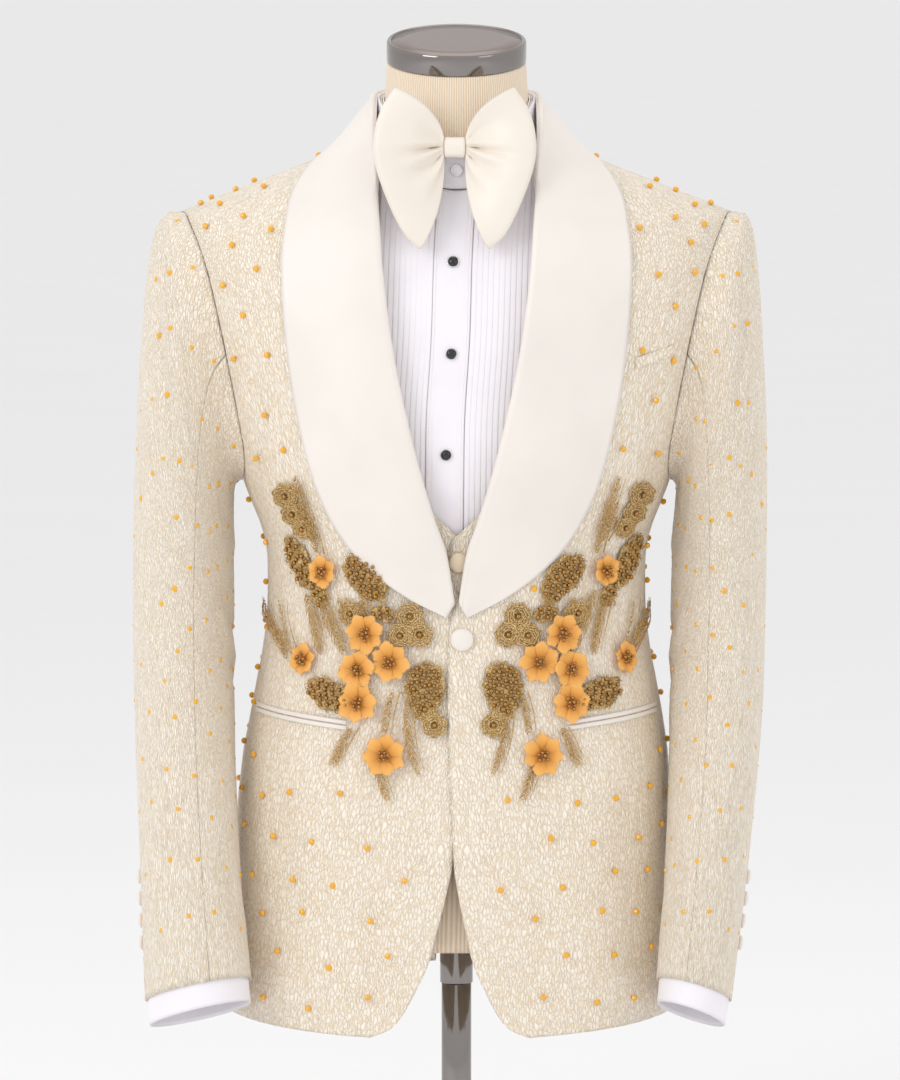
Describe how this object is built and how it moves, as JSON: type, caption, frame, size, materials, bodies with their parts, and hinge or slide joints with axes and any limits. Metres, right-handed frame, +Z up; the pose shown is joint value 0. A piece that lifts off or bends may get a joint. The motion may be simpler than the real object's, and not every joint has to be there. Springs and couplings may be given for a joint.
{
  "type": "tuxedo on a dress form",
  "caption": "Ivory shawl-lapel tuxedo jacket with waistcoat, pleated dress shirt and bow tie, shown on a limbless dress form on a chrome pole and round base.",
  "frame": {"origin": "on the floor under the middle of the whole object's bounding box", "axes": "+Z up, the front of the jacket towards -Y, the wearer's left towards +X"},
  "size_m": [0.5271, 0.3133, 1.025],
  "materials": {
    "cloque": "crinkled jacquard",
    "satin": "satin",
    "cotton": "poplin",
    "jersey": "ribbed jersey",
    "gold": "satin and metallic thread",
    "button": "polished",
    "onyx": "polished, in a silvered rim",
    "chrome": "polished"
  },
  "bodies": {
    "root": {"jacket_front_left": "cloque", "jacket_side_left": "cloque", "jacket_back_left": "cloque", "jacket_front_right": "cloque", "jacket_side_right": "cloque", "jacket_back_right": "cloque", "shawl_collar_left": "satin", "shawl_collar_right": "satin", "jacket_top_sleeve_left": "cloque", "jacket_under_sleeve_left": "cloque", "jacket_top_sleeve_right": "cloque", "jacket_under_sleeve_right": "cloque", "pocket_jets_left": "satin", "pocket_jets_right": "satin", "breast_welt": "cloque", "jacket_button": "satin", "sleeve_button_left_1": "satin", "sleeve_button_left_2": "satin", "sleeve_button_left_3": "satin", "sleeve_button_left_4": "satin", "sleeve_button_right_1": "satin", "sleeve_button_right_2": "satin", "sleeve_button_right_3": "satin", "sleeve_button_right_4": "satin", "waistcoat_front_left": "cloque", "waistcoat_front_right": "cloque", "waistcoat_back": "cloque", "waistcoat_button": "cloque", "shirt_bib_left": "cotton", "shirt_bib_right": "cotton", "shirt_front_left": "cotton", "shirt_front_right": "cotton", "shirt_back": "cotton", "shirt_placket": "cotton", "stud_1": "onyx", "stud_2": "onyx", "stud_3": "onyx", "shirt_collar_stand": "cotton", "shirt_collar_fall": "cotton", "collar_button": "button", "shirt_sleeve_left": "cotton", "shirt_cuff_left": "cotton", "shirt_sleeve_right": "cotton", "shirt_cuff_right": "cotton", "bow_wing_left": "satin", "bow_wing_right": "satin", "bow_knot": "satin", "bow_band": "satin", "form_torso": "jersey", "neck_cap": "chrome", "pole_collar": "chrome", "pole": "chrome", "base": "chrome", "flower_spray_left": "gold", "flower_spray_right": "gold"}
  },
  "joints": []
}
